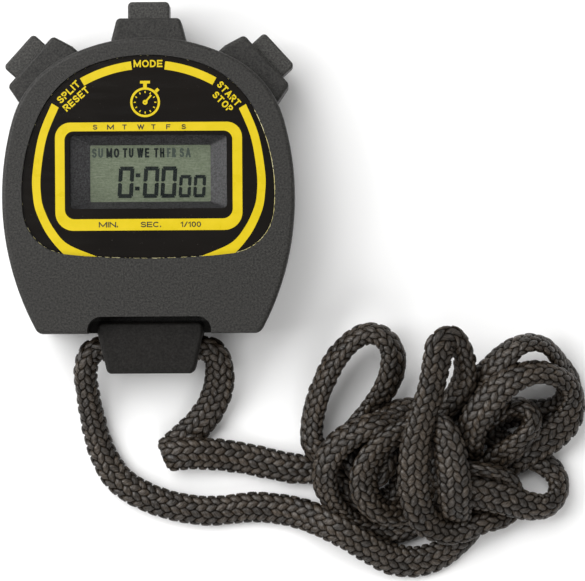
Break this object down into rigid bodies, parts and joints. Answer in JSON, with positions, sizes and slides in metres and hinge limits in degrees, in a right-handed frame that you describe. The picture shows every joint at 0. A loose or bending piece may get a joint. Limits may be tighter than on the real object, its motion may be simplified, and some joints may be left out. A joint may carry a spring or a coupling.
{
  "type": "digital stopwatch",
  "caption": "Hand-held digital sports stopwatch with push buttons round its top rim, a liquid crystal display and a braided neck lanyard piled beside it.",
  "frame": {"origin": "centre of the watch's footprint on the surface that it lies on, without its lanyard", "axes": "+Z out of the watch's face, +Y towards the top (mode) button, +X to the right as its face is read"},
  "size_m": [0.1313, 0.13, 0.02],
  "materials": {
    "case_plastic": "matte",
    "button_plastic": "matte",
    "label_black": "gloss",
    "print_yellow": "gloss",
    "clear_window": "clear",
    "bezel_black": "satin",
    "lcd_film": "satin",
    "lcd_ink": "satin",
    "lcd_glass": "clear",
    "elastomer": "matte",
    "frame_plastic": "matte",
    "board_green": "satin",
    "resin_black": "gloss",
    "chip_ceramic": "matte",
    "switch_black": "matte",
    "can_steel": "satin",
    "spring_steel": "satin",
    "screw_steel": "satin",
    "brass_disc": "satin",
    "lanyard_cord": "woven"
  },
  "bodies": {
    "root": {"front_case": "case_plastic", "rear_case": "case_plastic", "case_screws": "screw_steel", "face_label": "label_black", "window_lens": "clear_window", "display_bezel": "bezel_black", "lcd_front_polarizer": "lcd_film", "lcd_front_glass": "lcd_glass", "lcd_rear_glass": "lcd_glass", "lcd_reflector": "lcd_film", "zebra_strips": "elastomer", "module_frame": "frame_plastic", "module_screws": "screw_steel", "circuit_board": "board_green", "main_chip": "resin_black", "quartz_crystal": "can_steel", "smd_parts": "chip_ceramic", "tact_switches": "switch_black", "mode_spring": "spring_steel", "start_stop_spring": "spring_steel", "split_reset_spring": "spring_steel", "coin_cell": "can_steel", "battery_clip": "spring_steel", "battery_contact": "spring_steel", "buzzer_disc": "brass_disc", "buzzer_springs": "spring_steel", "lanyard_left": "lanyard_cord", "lanyard_right": "lanyard_cord", "lanyard_bundle": "lanyard_cord"},
    "mode_key": {"mode_button": "button_plastic"},
    "start_stop_key": {"start_stop_button": "button_plastic"},
    "split_reset_key": {"split_reset_button": "button_plastic"}
  },
  "joints": [
    {"name": "mode_press", "type": "slide", "parent": "root", "child": "mode_key", "axis": [0, -1, 0], "range_m": [0, 0.0015], "stiffness_N_per_m": 900, "springref_m": -0.0006, "deforming": ["mode_spring"]},
    {"name": "start_stop_press", "type": "slide", "parent": "root", "child": "start_stop_key", "axis": [-0.7408, -0.6717, 0], "range_m": [0, 0.0015], "stiffness_N_per_m": 900, "springref_m": -0.0006, "deforming": ["start_stop_spring"]},
    {"name": "split_reset_press", "type": "slide", "parent": "root", "child": "split_reset_key", "axis": [0.7408, -0.6717, 0], "range_m": [0, 0.0015], "stiffness_N_per_m": 900, "springref_m": -0.0006, "deforming": ["split_reset_spring"]}
  ]
}
